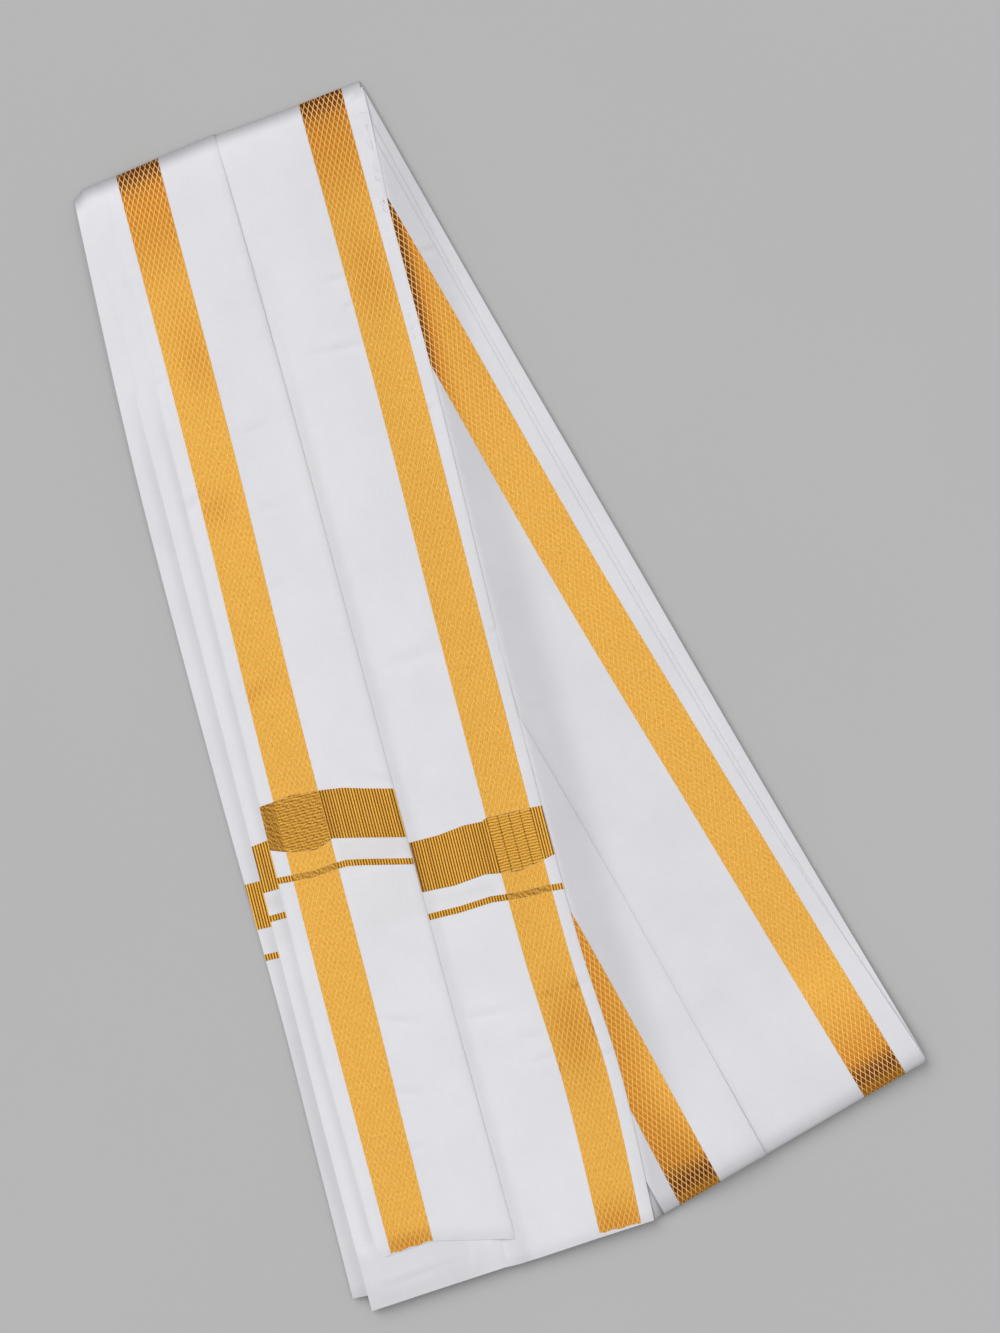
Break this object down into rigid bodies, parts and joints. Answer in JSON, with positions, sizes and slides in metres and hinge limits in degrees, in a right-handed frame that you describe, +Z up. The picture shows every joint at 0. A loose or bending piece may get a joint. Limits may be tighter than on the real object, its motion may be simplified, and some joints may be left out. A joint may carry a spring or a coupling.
{
  "type": "angavastram",
  "caption": "Long cotton stole with woven gold borders and end bands, pleated lengthwise, folded across and laid splayed on a surface",
  "frame": {"origin": "under the middle of the laid cloth's box, on the surface that it lies on", "axes": "+Z up from the surface; +Y along the cloth towards the top fold; +X to the right, the side to which the back stretch swings"},
  "size_m": [0.422, 0.6099, 0.0125],
  "materials": {
    "cotton": "white plain-weave cotton, matt, slightly translucent, with soft pressed creases",
    "zari": "gold metallic thread woven in a fine diamond lattice, ribbed in the end bands, satin sheen"
  },
  "bodies": {
    "root": {"back_core": "cotton", "back_lower_pleat": "cotton", "back_top_pleat": "cotton", "back_right_border": "zari", "back_left_border": "zari", "front_core": "cotton", "front_lower_pleat": "cotton", "front_second_pleat": "cotton", "front_top_pleat": "cotton", "front_top_border": "zari", "front_top_band": "zari", "front_top_border_gap": "zari", "front_top_line": "zari", "front_top_border_end": "zari", "front_lower_border": "zari", "front_lower_band": "zari", "front_lower_border_gap": "zari", "front_lower_line": "zari", "front_lower_border_end": "zari", "front_second_band": "zari", "front_second_line": "zari", "front_outer_band": "zari", "front_outer_line": "zari"}
  },
  "joints": []
}
